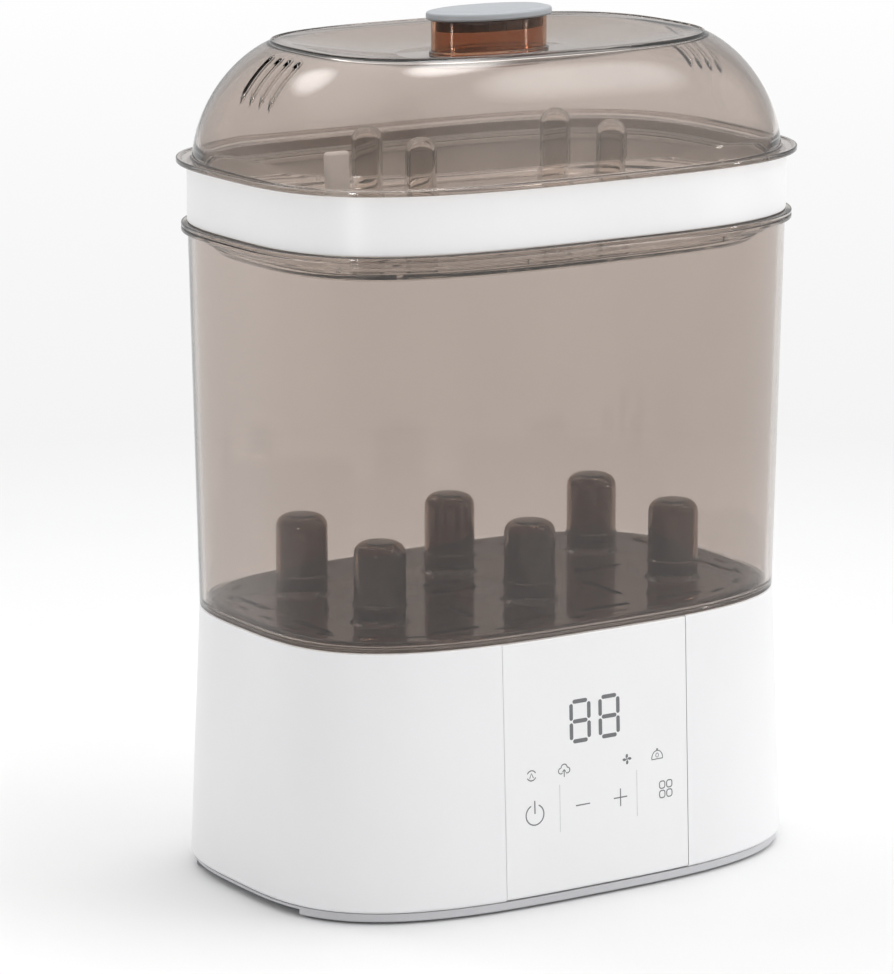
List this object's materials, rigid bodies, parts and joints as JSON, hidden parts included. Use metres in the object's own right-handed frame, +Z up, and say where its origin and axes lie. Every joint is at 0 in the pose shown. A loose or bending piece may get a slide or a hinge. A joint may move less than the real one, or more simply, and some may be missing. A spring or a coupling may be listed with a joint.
{
  "type": "bottle sterilizer",
  "caption": "Upright electric steam sterilizer and dryer for feeding bottles: white base with touch panel, smoky tank, bottle rack, accessory tray and domed lid.",
  "frame": {"origin": "on the floor, under the middle of the base", "axes": "+Z up, +X to the right as seen from the control panel's side, the control panel faces -Y"},
  "size_m": [0.2752, 0.189, 0.3882],
  "materials": {
    "white_plastic": "semi-gloss white moulded plastic",
    "panel_white": "satin white panel with grey printed symbols",
    "smoke_clear": "smoky brown see-through plastic",
    "rack_smoke": "darker smoky see-through plastic",
    "riser_brown": "warm brown see-through plastic",
    "cap_grey": "pale blue-grey satin plastic",
    "clip_dark": "dark brown-black plastic",
    "plinth_grey": "mid grey matt plastic",
    "foot_rubber": "grey rubber",
    "silicone": "pale silicone",
    "stainless": "brushed stainless steel",
    "cast_alloy": "cast aluminium",
    "screw_steel": "plated steel",
    "board_green": "circuit board",
    "inner_plastic": "natural moulded plastic",
    "display_grey": "display module",
    "motor_metal": "motor can",
    "ceramic": "ceramic heater",
    "sensor_black": "black phenolic",
    "filter_fibre": "pleated filter fibre"
  },
  "bodies": {
    "base": {"base_shell": "white_plastic", "control_panel": "panel_white", "touch_board": "board_green", "led_display": "display_grey", "base_plate": "plinth_grey", "heating_plate": "stainless", "plate_seal": "silicone", "heating_block": "cast_alloy", "heating_element": "motor_metal", "temperature_sensor": "sensor_black", "power_board": "board_green", "fan_housing": "inner_plastic", "fan_motor": "motor_metal", "air_duct": "inner_plastic", "drying_heater": "ceramic", "air_outlet_cap": "white_plastic", "cord_inlet": "inner_plastic", "foot_front_left": "foot_rubber", "screw_front_left": "screw_steel", "board_spacer_front_left": "inner_plastic", "foot_front_right": "foot_rubber", "screw_front_right": "screw_steel", "board_spacer_front_right": "inner_plastic", "foot_rear_left": "foot_rubber", "screw_rear_left": "screw_steel", "board_spacer_rear_left": "inner_plastic", "foot_rear_right": "foot_rubber", "screw_rear_right": "screw_steel", "board_spacer_rear_right": "inner_plastic"},
    "fan": {"fan_impeller": "inner_plastic"},
    "filter": {"filter_cover": "white_plastic", "air_filter": "filter_fibre"},
    "tank": {"tank": "smoke_clear"},
    "rack": {"bottle_rack": "rack_smoke"},
    "tray": {"tray_ring": "white_plastic", "accessory_tray": "smoke_clear", "tray_floor": "smoke_clear", "tray_tab": "white_plastic"},
    "lid": {"lid": "smoke_clear", "handle_riser": "riser_brown", "handle_clip": "clip_dark", "handle_cap": "cap_grey"}
  },
  "joints": [
    {"name": "tank_lift", "type": "slide", "parent": "base", "child": "tank", "axis": [0, 0, 1], "range_m": [0, 0.2]},
    {"name": "rack_lift", "type": "slide", "parent": "base", "child": "rack", "axis": [0, 0, 1], "range_m": [0, 0.1]},
    {"name": "tray_lift", "type": "slide", "parent": "tank", "child": "tray", "axis": [0, 0, 1], "range_m": [0, 0.09]},
    {"name": "lid_lift", "type": "slide", "parent": "tray", "child": "lid", "axis": [0, 0, 1], "range_m": [0, 0.12]},
    {"name": "filter_pull", "type": "slide", "parent": "base", "child": "filter", "axis": [0, 1, 0], "range_m": [0, 0.05]},
    {"name": "fan_spin", "type": "hinge", "parent": "base", "child": "fan", "pos_m": [0.05, 0, 0.03], "axis": [0, 0, 1], "continuous": true}
  ]
}
